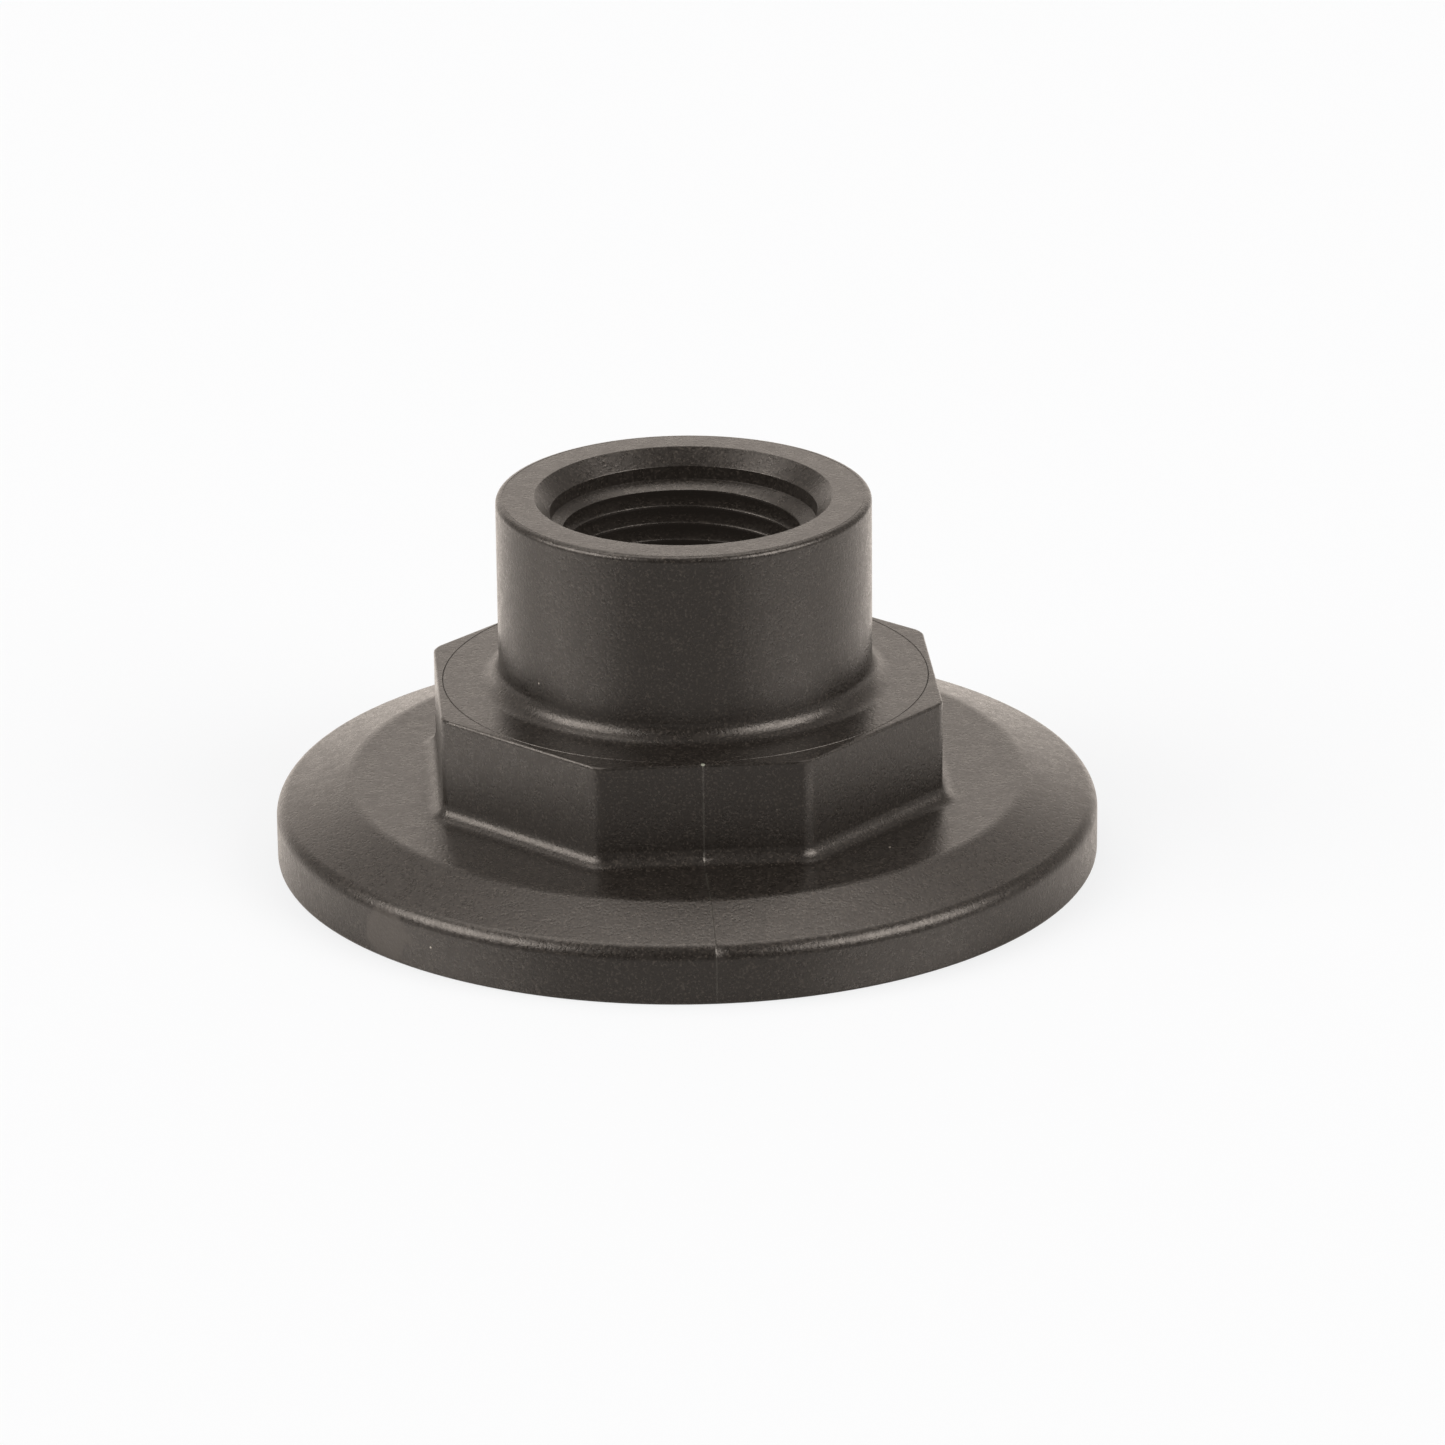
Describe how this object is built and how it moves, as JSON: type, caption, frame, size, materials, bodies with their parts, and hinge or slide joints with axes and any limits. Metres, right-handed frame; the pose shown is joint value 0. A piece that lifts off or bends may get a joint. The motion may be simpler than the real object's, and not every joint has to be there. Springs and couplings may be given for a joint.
{
  "type": "flanged pipe adapter",
  "caption": "Moulded plastic pipe adapter: clamp flange with a sloped back, octagonal wrench section and round boss with a female taper pipe thread.",
  "frame": {"origin": "centre of the flange's flat sealing face", "axes": "+Z along the thread's axis, from the sealing face to the thread's mouth; the octagon's flats are square to X and Y; the mould's parting plane is the YZ plane"},
  "size_m": [0.084, 0.084, 0.038],
  "materials": {
    "moulded_plastic": "warm black glass-filled polypropylene, semi-matt and faintly mottled"
  },
  "bodies": {
    "root": {"adapter_body": "moulded_plastic"}
  },
  "joints": []
}
